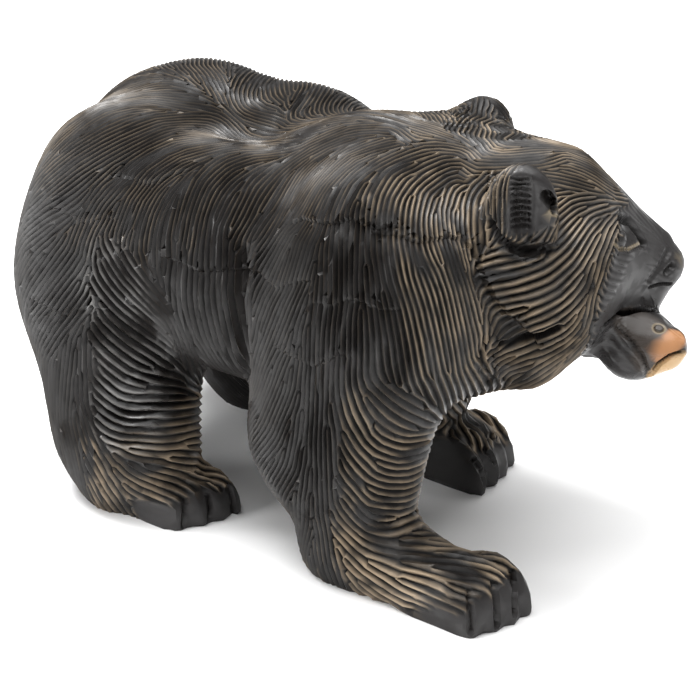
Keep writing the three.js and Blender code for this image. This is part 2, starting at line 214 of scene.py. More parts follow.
# %% Strokes on the head
HEAD_FUR = {
    "forehead": (2.3, 0.95, 0.60, [
        [(610, 172), (560, 148), (515, 143), (470, 140), (430, 128), (400, 120)],
        [(600, 188), (575, 180), (545, 172)],
        [(622, 196), (605, 186), (580, 170)],
        [(570, 150), (545, 139), (515, 131), (480, 126)],
    ]),
    "far_ear_front": (3.0, 0.9, 0.2, [
        [(528, 130), (508, 114), (494, 102)],
        [(505, 124), (488, 114), (476, 106)],
    ]),
    "temple": (2.5, 1.1, 0.8, [
        [(606, 200), (575, 205), (560, 220), (553, 240)],
        [(612, 210), (590, 215), (575, 235), (562, 250)],
        [(614, 216), (600, 228), (585, 250)],
    ]),
    "cheek": (3.8, 2.1, 0.85, [
        [(612, 226), (606, 245), (600, 262), (594, 290), (590, 318)],
        [(608, 222), (594, 250), (580, 278), (566, 302), (545, 320), (535, 325)],
        [(565, 250), (540, 258), (510, 262), (490, 265)],
        [(572, 252), (545, 268), (510, 275), (492, 275)],
        [(575, 260), (550, 280), (515, 290), (500, 290)],
        [(580, 270), (560, 290), (530, 305), (512, 307)],
        [(590, 290), (570, 315), (555, 325)],
        [(560, 335), (530, 345), (492, 357)],
        [(563, 345), (535, 358), (505, 370)],
        [(575, 345), (550, 365), (530, 380)],
    ]),
    "ear_back": (2.6, 1.2, 0.6, [
        [(505, 168), (496, 190), (495, 222)],
        [(492, 175), (487, 195), (486, 216)],
    ]),
    "bald_ear": (3.0, 0.0, 0.0, [
        [(519, 176), (519, 200), (520, 228)],
        [(530, 178), (532, 200), (530, 226)],
        [(540, 184), (545, 200), (542, 222)],
    ]),
    "lip": (2.4, 0.7, 0.0, [
        [(645, 291), (643, 306)],
        [(655, 290), (655, 307)],
        [(664, 290), (666, 307)],
    ]),
    "bald_muzzle": (3.0, 0.0, 0.0, [
        [(634, 206), (655, 228), (678, 252)],
        [(622, 222), (645, 240), (672, 258)],
        [(618, 246), (645, 252), (672, 268)],
        [(616, 262), (640, 266), (668, 278)],
        [(610, 282), (640, 284), (668, 286)],
        [(604, 300), (632, 300)],
        [(601, 318), (618, 308)],
    ]),
    "behind_ear": (2.6, 1.2, 0.8, [
        [(478, 180), (470, 195), (470, 220), (476, 250)],
        [(475, 175), (455, 190), (450, 220), (457, 260), (465, 285)],
        [(460, 290), (470, 330), (475, 360), (490, 378)],
    ]),
}

# %% The salmon stays smooth
SALMON_SKIN = {
    "bald_salmon": (3.0, 0.0, 0.0, [
        [(606, 336), (625, 325), (650, 318), (672, 332)],
        [(603, 345), (630, 355), (655, 350), (680, 344)],
        [(620, 360), (645, 374), (668, 372), (680, 362)],
    ]),
}

# %% Strokes on the trunk
TRUNK_FUR = {
    "neck": (2.6, 1.3, 0.6, [
        [(500, 160), (465, 163), (440, 175), (415, 200), (405, 240), (415, 285), (430, 320),
         (445, 360)],
        [(450, 170), (425, 190), (420, 220), (430, 260), (445, 290)],
        [(440, 160), (405, 175), (390, 200), (388, 230)],
        [(415, 150), (385, 170), (375, 195), (370, 215)],
        [(400, 280), (415, 310), (425, 345), (430, 375)],
        [(430, 290), (440, 330), (445, 365)],
    ]),
    "shoulder": (2.3, 1.2, 0.30, [
        [(440, 125), (400, 118), (350, 115), (320, 120), (290, 135)],
        [(395, 125), (350, 128), (310, 145), (280, 165), (255, 190), (235, 230)],
        [(395, 140), (350, 155), (320, 185), (305, 215)],
        [(420, 150), (380, 165), (355, 185), (345, 210)],
        [(290, 180), (275, 210), (255, 240)],
    ]),
    "upper_arm": (2.6, 1.9, 0.14, [
        [(300, 210), (280, 240), (262, 270)],
        [(300, 250), (290, 290), (275, 330), (260, 370)],
        [(350, 215), (350, 300), (348, 380)],
        [(375, 215), (378, 260), (385, 300), (395, 340), (400, 380)],
    ]),
    "back": (2.3, 1.3, 0.34, [
        [(300, 123), (250, 115), (200, 105), (150, 97), (100, 105), (70, 125)],
        [(300, 133), (250, 122), (210, 115), (160, 122), (110, 145), (75, 165), (45, 190)],
        [(300, 140), (260, 140), (225, 145), (180, 155), (150, 175), (135, 200), (122, 240)],
        [(300, 150), (250, 155), (225, 165), (205, 185), (195, 215), (190, 250)],
        [(120, 180), (100, 200), (85, 225), (78, 250)],
    ]),
    "rump": (2.8, 1.8, 0.10, [
        [(75, 200), (50, 215), (30, 230)],
        [(75, 260), (50, 290), (35, 310)],
        [(85, 300), (60, 330), (45, 350)],
        [(70, 350), (62, 420), (75, 480)],
    ]),
    "flank": (3.2, 1.5, 0.05, [
        [(180, 255), (180, 310), (190, 350)],
        [(215, 240), (215, 300), (225, 350)],
    ]),
    "chest": (4.0, 1.7, 0.25, [
        [(375, 390), (400, 405), (425, 420)],
        [(430, 375), (440, 395), (445, 410)],
        [(475, 365), (485, 378), (492, 388)],
    ]),
}

# %% Strokes on the right legs
FRONT_LEG_FUR = {
    "fore_leg": (2.5, 1.8, 0.12, [
        [(320, 350), (322, 430), (325, 500), (330, 560), (335, 585)],
        [(270, 380), (258, 410), (245, 430)],
        [(290, 400), (275, 440), (255, 460)],
        [(300, 430), (295, 470), (275, 500)],
        [(310, 470), (305, 520), (300, 545)],
    ]),
    "fore_leg_front": (3.8, 1.8, 0.6, [
        [(355, 400), (370, 440), (400, 450), (425, 445)],
        [(355, 430), (375, 455), (400, 462), (425, 455)],
        [(360, 460), (380, 478), (410, 482), (425, 475)],
        [(345, 480), (370, 505), (400, 505), (420, 500)],
        [(345, 500), (365, 530), (395, 533), (425, 515)],
    ]),
    "fore_paw": (4.2, 1.9, 0.95, [
        [(340, 520), (360, 540), (400, 552), (420, 555)],
        [(335, 530), (365, 560), (400, 570), (430, 578), (475, 585)],
        [(385, 540), (430, 530), (465, 528)],
        [(400, 548), (440, 552), (475, 545)],
        [(420, 555), (455, 560), (490, 570)],
        [(430, 575), (455, 590), (475, 592)],
        [(340, 540), (370, 575), (400, 595), (425, 610)],
        [(350, 570), (385, 600), (410, 615)],
        [(335, 560), (345, 585), (355, 600)],
        [(450, 525), (480, 540), (510, 560)],
    ]),
    "bald_fore_paw": (4.6, 0.0, 0.0, [
        [(408, 606), (430, 618), (452, 628)],
        [(478, 604), (481, 628)],
        [(500, 598), (504, 622)],
        [(516, 590), (521, 612)],
        [(526, 582), (529, 602)],
    ]),
}
HIND_LEG_FUR = {
    "knee": (4.4, 2.4, 0.10, [
        [(110, 250), (125, 275), (150, 300), (170, 315)],
        [(100, 285), (115, 305), (140, 325), (155, 335)],
        [(103, 325), (120, 340), (150, 360)],
        [(100, 350), (130, 368), (150, 375)],
        [(95, 380), (120, 400), (165, 400)],
        [(100, 410), (125, 425), (150, 420)],
        [(95, 430), (110, 440), (135, 437)],
    ]),
    "shank": (3.0, 1.0, 0.05, [
        [(175, 320), (188, 350), (200, 375)],
        [(200, 340), (215, 360), (235, 380)],
        [(85, 350), (82, 400), (90, 440)],
    ]),
    "hind_paw": (4.0, 1.8, 0.95, [
        [(125, 440), (160, 445), (200, 435), (215, 430)],
        [(130, 448), (170, 452), (225, 450)],
        [(110, 445), (140, 460), (180, 468), (225, 480)],
        [(105, 450), (130, 475), (155, 490), (180, 498)],
        [(95, 440), (105, 475), (125, 512)],
    ]),
    "bald_hind_paw": (4.4, 0.0, 0.0, [
        [(135, 506), (152, 513), (168, 515)],
        [(180, 502), (181, 522)],
        [(205, 496), (206, 518)],
        [(232, 490), (234, 512)],
    ]),
}
FAR_PAW_SKIN = {
    "bald_far_paw": (4.4, 0.0, 0.0, [
        [(440, 440), (465, 450), (485, 470)],
        [(450, 465), (475, 478)],
        [(496, 458), (498, 482)],
        [(510, 452), (513, 475)],
    ]),
    "far_paw_top": (4.0, 1.2, 0.6, [
        [(445, 412), (475, 425), (500, 437)],
    ]),
}

# %% [markdown]
# ## From pencil lines to guides
# A ray from the camera through each pixel finds the point on the block, so a stroke becomes a chain
# of guides in space. The side that the picture doesn't show gets the same strokes mirrored: the
# trunk and legs across the trunk's middle plane, the head across its own turned plane.

# %% Project strokes and mirror them
STROKE_STEP = 8.0
HEAD_AT = np.array((82.3, 22.0, 158.0))
HEAD_YAW = math.radians(45)
HEAD_AHEAD = np.array((math.cos(HEAD_YAW), math.sin(HEAD_YAW), 0.0))
HEAD_LEFT = np.array((-math.sin(HEAD_YAW), math.cos(HEAD_YAW), 0.0))
TRUNK_MIDDLE = np.array((0.0, -4.0, 0.0))
SIDEWAYS = np.array((0.0, 1.0, 0.0))
LEFT_FRONT_LEG_BACK = -68.0
LEFT_HIND_LEG_BACK = -8.0
MIRROR_REACH = 14.0
MIRROR_FACING = 0.3


def on_block(px, py):
    """Where the ray through a pixel meets the block, in millimetres, and the normal there."""
    across = (px - FRAME_PIXELS / 2) / FOCAL_PIXELS
    down = (py - FRAME_PIXELS / 2) / FOCAL_PIXELS
    ray = rightward * across - upward * down - backward
    place, normal, _, _ = form_tree.ray_cast(eye_place / MM, ray)
    return (None, None) if place is None else (np.array(place), np.array(normal))


def trace(stroke, step=STROKE_STEP):
    """A chain of (place, normal) along one stroke."""
    hits = []
    for (x0, y0), (x1, y1) in zip(stroke, stroke[1:]):
        pieces = max(1, round(math.hypot(x1 - x0, y1 - y0) / step))
        for piece in range(pieces):
            share = piece / pieces
            hits.append(on_block(x0 + (x1 - x0) * share, y0 + (y1 - y0) * share))
    hits.append(on_block(*stroke[-1]))
    return [hit for hit in hits if hit[0] is not None]


def mirrored(chain, centre, across, shift):
    """The same chain on the other side of a plane, laid back onto the block."""
    moved = []
    for place, normal in chain:
        other = place - 2 * np.dot(place - centre, across) * across + shift
        facing = normal - 2 * np.dot(normal, across) * across
        near, near_normal, _, distance = form_tree.find_nearest(other)
        if distance < MIRROR_REACH and np.dot(facing, near_normal) > MIRROR_FACING:
            moved.append((np.array(near), np.array(near_normal)))
        else:
            moved.append((None, None))
    return moved


# %% Lay down the guides
SHORTEST_GUIDE = 0.5
LONGEST_GUIDE = 16.0
guides = []


def add_guides(chain, pitch, depth, tan):
    """Each step along the chain is one guide: place, normal, direction and its cut's sizes."""
    for (a, na), (b, nb) in zip(chain, chain[1:]):
        if a is None or b is None:
            continue
        step = b - a
        length = np.linalg.norm(step)
        if SHORTEST_GUIDE < length < LONGEST_GUIDE:
            guides.append((*((a + b) / 2), *unit(na + nb), *(step / length), pitch, depth, tan))


def add_fur(groups, centre=None, across=None, shift=(0, 0, 0)):
    """Every stroke of these groups, and its mirror image where a plane is given."""
    for pitch, depth, tan, strokes in groups.values():
        for stroke in strokes:
            chain = trace(stroke)
            add_guides(chain, pitch, depth, tan)
            if centre is not None:
                add_guides(mirrored(chain, centre, across, np.array(shift)), pitch, depth, tan)


add_fur(HEAD_FUR, HEAD_AT, HEAD_LEFT)
add_fur(TRUNK_FUR, TRUNK_MIDDLE, SIDEWAYS)
add_fur(FRONT_LEG_FUR, TRUNK_MIDDLE, SIDEWAYS, (LEFT_FRONT_LEG_BACK, 0, 0))
add_fur(HIND_LEG_FUR, TRUNK_MIDDLE, SIDEWAYS, (LEFT_HIND_LEG_BACK, 0, 0))
add_fur(SALMON_SKIN)
add_fur(FAR_PAW_SKIN)
print(len(guides), "guides")

# %% Spread the guides over the whole block
GUIDE_BLUR = 5.0
BASE_FLOW = np.array((-0.5, 0.0, -0.85))
BASE_SIZES = np.array((3.6, 1.1, 0.05))
BASE_REACH = 45.0
AT_ONCE = 4000


def spread_guides(points, normals):
    """Direction of the fur and pitch, depth and tan at each point, nearest guides first."""
    table = np.array(guides)
    spots, facings, ways, sizes = table[:, :3], table[:, 3:6], table[:, 6:9], table[:, 9:]
    flow = np.empty_like(points)
    cuts = np.empty((len(points), 3))
    base_weight = 1 / (BASE_REACH ** 2) ** 2
    for start in range(0, len(points), AT_ONCE):
        part = slice(start, start + AT_ONCE)
        p, n = points[part], normals[part]
        square = (p ** 2).sum(1)[:, None] + (spots ** 2).sum(1)[None] - 2 * p @ spots.T
        weight = np.maximum(n @ facings.T, 0) / (np.maximum(square, 0) + GUIDE_BLUR ** 2) ** 2
        total = weight.sum(1)[:, None] + base_weight
        flow[part] = weight @ ways + base_weight * BASE_FLOW
        cuts[part] = (weight @ sizes + base_weight * BASE_SIZES) / total
    flow -= (flow * normals).sum(1)[:, None] * normals
    return unit(flow), cuts


form_flow, form_cuts = spread_guides(form_points, form_normals)
print("pitch from", form_cuts[:, 0].min().round(2), "to", form_cuts[:, 0].max().round(2), "mm")

# %% [markdown]
# ## Counting the cuts
# Parallel strokes on a curved block have to fork and end here and there to keep their spacing. So
# each point gets a phase, like the hand of a clock that turns once from one ridge to the next. It
# grows out from one seed point over the surface, and then each point keeps correcting itself to
# what its neighbours expect. Where they can't agree, one stroke ends between two others, just as
# it does under the gouge.

# %% Grow and settle the phase
FORM_ROUNDS = 420
FINE_ROUNDS = 60
EVEN = 0.9
TINY = 1e-6


def wave_of(flow, normals, pitch):
    """How the phase advances across the fur, in radians a millimetre."""
    return np.cross(normals, flow) * (2 * math.pi / pitch)[:, None]


def settle(phase, points, wave, edges, rounds):
    """Let every point agree with its neighbours on the phase, as unit complex numbers."""
    i, j = edges.T
    advance = ((wave[i] + wave[j]) / 2 * (points[j] - points[i])).sum(1)
    turn = np.exp(1j * advance)
    back = np.conj(turn)
    count = len(points)
    for _ in range(rounds):
        to_j, to_i = phase[i] * turn, phase[j] * back
        real = np.bincount(j, to_j.real, count) + np.bincount(i, to_i.real, count)
        imag = np.bincount(j, to_j.imag, count) + np.bincount(i, to_i.imag, count)
        total = real + 1j * imag + EVEN * phase
        size = np.abs(total)
        phase = np.where(size > TINY, total / np.maximum(size, TINY), 0)
    return phase


form_edges, _ = edges_of(form_triangles)
form_wave = wave_of(form_flow, form_normals, form_cuts[:, 0])
form_phase = np.zeros(len(form_points), complex)
form_phase[np.argmax(form_points[:, 2])] = 1
form_phase = settle(form_phase, form_points, form_wave, form_edges, FORM_ROUNDS)
print("phase reaches", np.mean(np.abs(form_phase) > 0), "of the points")

# %% Refine the skin to one millimetre and carry everything over
apply_modifier(bear, "SUBSURF", levels=1, render_levels=1)
points, triangles = read_mesh(bear)
normals = normals_of(points, triangles)
edges, _ = edges_of(triangles)
nearest = KDTree(len(form_points))
for index, place in enumerate(form_points):
    nearest.insert(place, index)
nearest.balance()
parent = np.array([nearest.find(place)[1] for place in points])
print("fine", len(points), "points")

flow, cuts = spread_guides(points, normals)
wave = wave_of(flow, normals, cuts[:, 0])
start = form_phase[parent] * np.exp(1j * (wave * (points - form_points[parent])).sum(1))
phase = np.angle(settle(start, points, wave, edges, FINE_ROUNDS))

# %% [markdown]
# ## Streaks
# No two strokes are alike. Random numbers smeared along the fur give each stroke its own depth and
# its own tone, and vary it slowly from root to tip.

# %% Random numbers smeared along the fur
STREAK_ROUNDS = 60
STREAK_WIDTH = 0.40
STREAK_KEPT = 0.3
chance = np.random.default_rng(8)


def smear(values, points, flow, edges, rounds):
    """Average values with neighbours that lie along the fur."""
    i, j = edges.T
    step = points[j] - points[i]
    along = (step * (flow[i] + flow[j]) / 2).sum(1)
    across = np.sqrt(np.maximum((step ** 2).sum(1) - along ** 2, 0))
    weights = np.exp(-((across / STREAK_WIDTH) ** 2))
    for _ in range(rounds):
        values = average_round(values, edges, weights, own=STREAK_KEPT)
    return (values - values.mean()) / values.std()


streak = smear(chance.standard_normal(len(points)), points, flow, edges, STREAK_ROUNDS)
print("streaks from", streak.min().round(1), "to", streak.max().round(1))

# %% [markdown]
# ## Ridges and grooves as real edges
# The squares of the skin don't run along the fur, so a ridge would come out as a row of teeth. The
# triangles are split wherever the clock passes twelve, the ridge, and again where it passes six,
# the bottom of the groove. Then both lie on edges of the mesh.

# %% Split triangles at points along their edges
PLACE, WAVE, NORMAL = slice(0, 3), slice(3, 6), slice(9, 12)
DEPTH, TAN, STREAK, PHASE = 7, 8, 12, 13


def wrap(angle):
    """An angle brought to the turn around zero."""
    return (angle + math.pi) % (2 * math.pi) - math.pi


def advance_along(skin, i, j):
    """How far the phase runs on from point i to point j, counted in whole turns too."""
    expected = ((skin[i, WAVE] + skin[j, WAVE]) / 2 * (skin[j, PLACE] - skin[i, PLACE])).sum(1)
    return wrap(skin[j, PHASE] - skin[i, PHASE] - expected) + expected


def split_edges(skin, triangles, edges, side_edge, cut, share, advance):
    """New points on the cut edges, a share of the way along, and triangles that use them."""
    i, j = edges[cut].T
    added = skin[i] * (1 - share[:, None]) + skin[j] * share[:, None]
    added[:, PHASE] = skin[i, PHASE] + advance * share
    new_point = np.full(len(edges), -1)
    new_point[cut] = len(skin) + np.arange(len(i))
    skin = np.concatenate([skin, added])
    middle = new_point[side_edge]
    count = (middle >= 0).sum(1)
    made = [triangles[count == 0]]
    first_of = {
        1: np.argmax(middle >= 0, axis=1),
        2: np.argmin(middle >= 0, axis=1),
        3: np.zeros(len(middle), int),
    }
    for cuts_here, first in first_of.items():
        chosen = count == cuts_here
        order = (first[chosen, None] + np.arange(3)) % 3
        a, b, c = np.take_along_axis(triangles[chosen], order, 1).T
        ab, bc, ca = np.take_along_axis(middle[chosen], order, 1).T
        if cuts_here == 1:
            made += [np.stack(t, 1) for t in ((a, ab, c), (ab, b, c))]
        elif cuts_here == 2:
            to_bc = np.linalg.norm(skin[a, PLACE] - skin[bc, PLACE], axis=1)
            to_ca = np.linalg.norm(skin[b, PLACE] - skin[ca, PLACE], axis=1)
            short = (to_bc < to_ca)[:, None]
            made.append(np.stack((bc, c, ca), 1))
            made.append(np.where(short, np.stack((a, b, bc), 1), np.stack((a, b, ca), 1)))
            made.append(np.where(short, np.stack((a, bc, ca), 1), np.stack((b, bc, ca), 1)))
        else:
            made += [np.stack(t, 1) for t in ((a, ab, ca), (ab, b, bc), (ca, bc, c), (ab, bc, ca))]
    return skin, np.concatenate(made)


# %% Split where the phase passes a ridge or the bottom of a groove
SNAP = 0.3
UNCUT = 0.05
CREST = -0.6
HAIR = 1e-7


def split_at(level, skin, triangles):
    """Put an edge wherever the phase passes level."""
    near = np.abs(wrap(skin[:, PHASE] - level)) < SNAP
    skin[near, PHASE] = level
    edges, side_edge = edges_of(triangles)
    i, j = edges.T
    advance = advance_along(skin, i, j)
    begin = wrap(skin[i, PHASE] - level) / (2 * math.pi)
    end = begin + advance / (2 * math.pi)
    passed = np.ceil(np.minimum(begin, end) + HAIR)
    cut = passed < np.maximum(begin, end) - HAIR
    cut &= (skin[i, DEPTH] > UNCUT) | (skin[j, DEPTH] > UNCUT)
    share = ((passed - begin) / np.where(cut, end - begin, 1))[cut]
    return split_edges(skin, triangles, edges, side_edge, cut, share, advance[cut])


# %% [markdown]
# ## The face, the ears and the salmon
# These are knife work: a few deep cuts and raised forms, each drawn as a line in the picture with a
# width and a depth. The skin is split finer around them first, so that they come out crisp.

# %% Lines of the knife
# Each line: pixels, half width in mm, depth in mm (below zero raises), and how the cut's walls run.
FACE_CUTS = [
    ([(622, 197), (634, 208), (646, 219), (656, 229), (665, 237)], 8.0, -1.3, "soft"),
    ([(600, 300), (615, 270), (622, 250)], 9.0, 1.0, "soft"),
    ([(628, 237)], 9.0, 2.0, "soft"),
    ([(621, 218), (630, 221), (637, 231), (644, 243)], 3.4, 5.0, "soft"),
    ([(616, 243), (621, 249), (630, 250), (641, 246)], 1.3, 1.2, "knife"),
    ([(624, 239)], 3.9, -2.6, "ball"),
    ([(620, 255)], 0.9, 1.0, "soft"),
    ([(650, 280), (660, 266), (668, 252)], 3.0, 1.2, "soft"),
    ([(667, 272), (673, 266)], 2.8, 2.6, "soft"),
    ([(650, 287), (660, 284), (671, 284)], 1.2, 2.0, "knife"),
    ([(666, 311), (640, 309), (620, 313), (605, 325), (595, 342)], 2.3, 6.0, "soft"),
    ([(488, 222), (499, 243), (525, 250), (551, 251)], 4.0, 5.0, "soft"),
    ([(521, 184), (521, 205), (523, 224)], 6.5, 2.0, "soft"),
    ([(546, 196), (552, 203), (558, 210)], 3.6, 6.0, "soft"),
    ([(503, 346), (522, 343), (545, 337), (560, 330)], 3.4, 4.5, "soft"),
]

# %% Rows of ribs in the ears
EAR_CUP_ROWS = range(178, 232, 6)
EAR_RIM_COLUMNS = (490, 496, 503)
FAR_EAR_ROWS = range(103, 130, 5)
FACE_CUTS += [([(512, y), (520, y + 1), (529, y + 1)], 1.3, 1.5, "knife") for y in EAR_CUP_ROWS]
FACE_CUTS += [([(x, 172), (x - 3, 196), (x - 1, 222)], 1.2, 1.2, "knife") for x in EAR_RIM_COLUMNS]
FAR_EAR_CUTS = [
    ([(446, y), (457, y + 2), (469, y + 4)], 1.4, 1.7, "knife") for y in FAR_EAR_ROWS]
print(len(FACE_CUTS), "lines on the face,", len(FAR_EAR_CUTS), "in the far ear")

# %% The salmon, the toes and the hollow behind the arm
SALMON_CUTS = [
    ([(659, 328)], 3.9, 1.3, "soft"),
    ([(659, 328)], 2.4, -1.9, "ball"),
    ([(619, 327), (631, 341), (641, 356), (648, 376)], 2.2, 2.2, "knife"),
    ([(606, 336), (616, 352), (630, 366)], 6.0, 1.6, "soft"),
    ([(651, 376), (658, 365), (669, 357), (684, 352)], 1.8, 3.0, "knife"),
    ([(670, 322), (680, 333)], 5.0, 1.0, "soft"),
]
PAW_CUTS = [
    ([(470, 592), (471, 610), (471, 632)], 2.4, 2.6, "knife"),
    ([(494, 584), (497, 602), (498, 626)], 2.4, 3.0, "knife"),
    ([(511, 572), (514, 590), (516, 614)], 2.4, 3.0, "knife"),
    ([(414, 612), (434, 622), (450, 627)], 8.0, 2.2, "soft"),
]
HIND_PAW_CUTS = [
    ([(185, 500), (185, 512), (184, 526)], 2.2, 2.4, "knife"),
    ([(208, 496), (210, 508), (210, 522)], 2.2, 2.6, "knife"),
    ([(229, 488), (232, 500), (233, 516)], 2.2, 2.6, "knife"),
    ([(136, 507), (152, 513), (166, 516)], 7.0, 1.8, "soft"),
]
BODY_CUTS = [
    ([(243, 250), (240, 300), (243, 340), (246, 378)], 5.0, 3.0, "soft"),
]

# %% Shelves, where one row of strokes ends above the next
# Each shelf: pixels, the way on to the sunk fur in pixels, then how deep that fur is sunk and how
# soon it comes up again, in mm.
DOWN = (0, 14)
SHELVES = [
    ([(484, 256), (490, 275), (500, 295), (512, 310), (524, 322), (536, 333)], (-12, 8), 3.4, 15.0),
    ([(489, 352), (492, 366), (500, 380)], (-12, 3), 2.6, 11.0),
    ([(303, 212), (330, 218), (350, 212), (376, 221)], DOWN, 1.9, 15.0),
    ([(392, 226), (420, 236), (448, 231)], DOWN, 1.7, 13.0),
    ([(176, 256), (200, 268), (238, 264)], DOWN, 1.8, 14.0),
    ([(256, 264), (275, 282), (296, 276)], DOWN, 1.5, 13.0),
    ([(326, 300), (352, 294), (384, 305)], DOWN, 1.4, 13.0),
    ([(285, 350), (310, 362), (335, 350)], DOWN, 1.2, 13.0),
    ([(38, 300), (62, 312), (88, 302)], DOWN, 1.4, 14.0),
    ([(120, 170), (150, 178), (172, 168)], DOWN, 1.2, 12.0),
    ([(60, 205), (80, 218), (102, 212)], DOWN, 1.2, 12.0),
]
print(len(SHELVES), "shelves")

# %% Lay the lines on the block
KNIFE_STEP = 2.0
WALLS = {
    "soft": lambda away: (1 - away ** 2) ** 2,
    "knife": lambda away: 1 - away,
    "ball": lambda away: np.sqrt(1 - away ** 2),
}
KnifeLine = namedtuple("KnifeLine", "spots facings width depth walls")


def knife_lines(cuts, centre=None, across=None, shift=(0, 0, 0)):
    """Every cut as a line in space, with its mirror image if a plane is given."""
    made = []
    for pixels, width, depth, walls in cuts:
        sides = [trace(pixels, KNIFE_STEP)]
        if centre is not None:
            sides.append(mirrored(sides[0], centre, across, np.array(shift)))
        for side in sides:
            side = [link for link in side if link[0] is not None]
            if side:
                spots, facings = (np.array(column) for column in zip(*side))
                made.append(KnifeLine(spots, facings, width, depth, walls))
    return made


head_lines = knife_lines(FACE_CUTS, HEAD_AT, HEAD_LEFT)
head_lines += knife_lines(SALMON_CUTS) + knife_lines(FAR_EAR_CUTS)
lines = head_lines + knife_lines(BODY_CUTS, TRUNK_MIDDLE, SIDEWAYS)
lines += knife_lines(PAW_CUTS, TRUNK_MIDDLE, SIDEWAYS, (LEFT_FRONT_LEG_BACK, 0, 0))
lines += knife_lines(HIND_PAW_CUTS, TRUNK_MIDDLE, SIDEWAYS, (LEFT_HIND_LEG_BACK, 0, 0))
print(len(lines), "knife lines")

# %% Find the points near a line
SAME_SIDE = -0.2


def near_line(points, normals, spots, facings, width):
    """Which points lie within width of the line, how far as a share of width, and its facing."""
    inside = ((points > spots.min(0) - width) & (points < spots.max(0) + width)).all(1)
    chosen = np.flatnonzero(inside)
    gap = np.linalg.norm(points[chosen][:, None] - spots[None], axis=2)
    link = gap.argmin(1)
    away = gap.min(1) / width
    facing = facings[link]
    keep = (away < 1) & ((normals[chosen] * facing).sum(1) > SAME_SIDE)
    return chosen[keep], away[keep], facing[keep]


# %% Split the skin finer around the narrow lines
FINE_EDGE = 0.6
REFINE_MARGIN = 1.5
REFINE_ROUNDS = 2
NARROW = 4.0


def refine(skin, triangles, lines):
    """Halve the long edges near the lines."""
    near = np.zeros(len(skin), bool)
    for line in lines:
        reach = line.width + REFINE_MARGIN
        spots, facings = line.spots, line.facings
        near[near_line(skin[:, PLACE], skin[:, NORMAL], spots, facings, reach)[0]] = True
    edges, side_edge = edges_of(triangles)
    i, j = edges.T
    length = np.linalg.norm(skin[i, PLACE] - skin[j, PLACE], axis=1)
    cut = near[i] & near[j] & (length > FINE_EDGE)
    advance = advance_along(skin, i[cut], j[cut])
    return split_edges(skin, triangles, edges, side_edge, cut, np.full(cut.sum(), 0.5), advance)


skin = np.column_stack([points, wave, cuts, normals, streak, phase])
for _ in range(REFINE_ROUNDS):
    skin, triangles = refine(skin, triangles, [line for line in lines if line.width < NARROW])
skin, triangles = split_at(CREST, skin, triangles)
skin, triangles = split_at(math.pi, skin, triangles)
print("split into", len(skin), "points and", len(triangles), "triangles")

# %% [markdown]
# ## One number for each stroke
# A real stroke keeps its depth and its colour from root to tip, and its neighbour has others. The
# points between two groove bottoms hang together, so they can be found and given one number.

# %% Number the strokes
SUNK = 0.02
SHALLOW = 0.3
STROKE_LIMIT = 1.8


def number_strokes(skin, triangles):
    """One random number for all the points between two groove bottoms."""
    edges, _ = edges_of(triangles)
    on_top = (math.pi - np.abs(wrap(skin[:, PHASE])) > SUNK) & (skin[:, DEPTH] > SHALLOW)
    i, j = edges[on_top[edges].all(1)].T
    label = np.arange(len(skin))
    while (label[i] != label[j]).any():
        a, b = label[i], label[j]
        low = np.minimum(a, b)
        np.minimum.at(label, a, low)
        np.minimum.at(label, b, low)
        label = label[label]
    print(len(np.unique(label[on_top])), "strokes")
    return np.clip(chance.standard_normal(len(skin)), -STROKE_LIMIT, STROKE_LIMIT)[label]


stroke = number_strokes(skin, triangles)

# %% [markdown]
# ## Cutting
# Now the gouge goes in. Each point sinks along its own normal by the depth of its stroke, least at
# the ridge and most at the bottom of the groove. Where the depth runs out towards bare skin, the
# shallowest cuts are left away, as a carver would.

# %% Cut the strokes
SHALLOWEST = 0.45
STREAK_LIMIT = 2.0
STREAK_VARIES = 0.22
STROKE_VARIES = 0.12
SHARP_TOP = 0.85
FLAT_TOP = 0.35

points, tan, streak = skin[:, PLACE], skin[:, TAN], skin[:, STREAK]
normals = unit(skin[:, NORMAL])
turned = wrap(skin[:, PHASE])
before = (CREST - turned) / (CREST + math.pi)
after = (turned - CREST) / (math.pi - CREST)
groove = np.where(turned < CREST, before, after)
depth = skin[:, DEPTH]
depth = depth * np.clip((depth - SHALLOWEST) / SHALLOWEST, 0, 1)
vary = 1 + STREAK_VARIES * np.clip(streak, -STREAK_LIMIT, STREAK_LIMIT) + STROKE_VARIES * stroke
sink = depth * vary * groove ** (SHARP_TOP + FLAT_TOP * np.clip(tan, 0, 1))
carved = points - normals * sink[:, None]
print("deepest stroke", round(sink.max(), 2), "mm")

# %% Cut the knife lines
cut_depth = np.zeros(len(points))
for line in lines:
    chosen, away, facing = near_line(points, normals, line.spots, line.facings, line.width)
    move = line.depth * WALLS[line.walls](away)
    carved[chosen] -= facing * move[:, None]
    cut_depth[chosen] += move
print("deepest knife cut", round(cut_depth.max(), 2), "mm")

# %% Sink the fur beyond each shelf
STEP_LENGTH = 0.8
JAG = 2.6


def shelf_sides(pixels, beyond):
    """The shelf on both sides of the bear: its spots, facings and the way on from it."""
    x, y = pixels[len(pixels) // 2]
    chain = trace(pixels, KNIFE_STEP)
    chain += [on_block(x, y), on_block(x + beyond[0], y + beyond[1])]
    plane = (TRUNK_MIDDLE, SIDEWAYS) if beyond == DOWN else (HEAD_AT, HEAD_LEFT)
    for side in (chain, mirrored(chain, *plane, np.zeros(3))):
        if side[-1][0] is None or side[-2][0] is None:
            continue
        onward = unit(side[-1][0] - side[-2][0])
        side = [link for link in side[:-2] if link[0] is not None]
        if len(side) > 1:
            spots, facings = (np.array(column) for column in zip(*side))
            yield spots, facings, onward


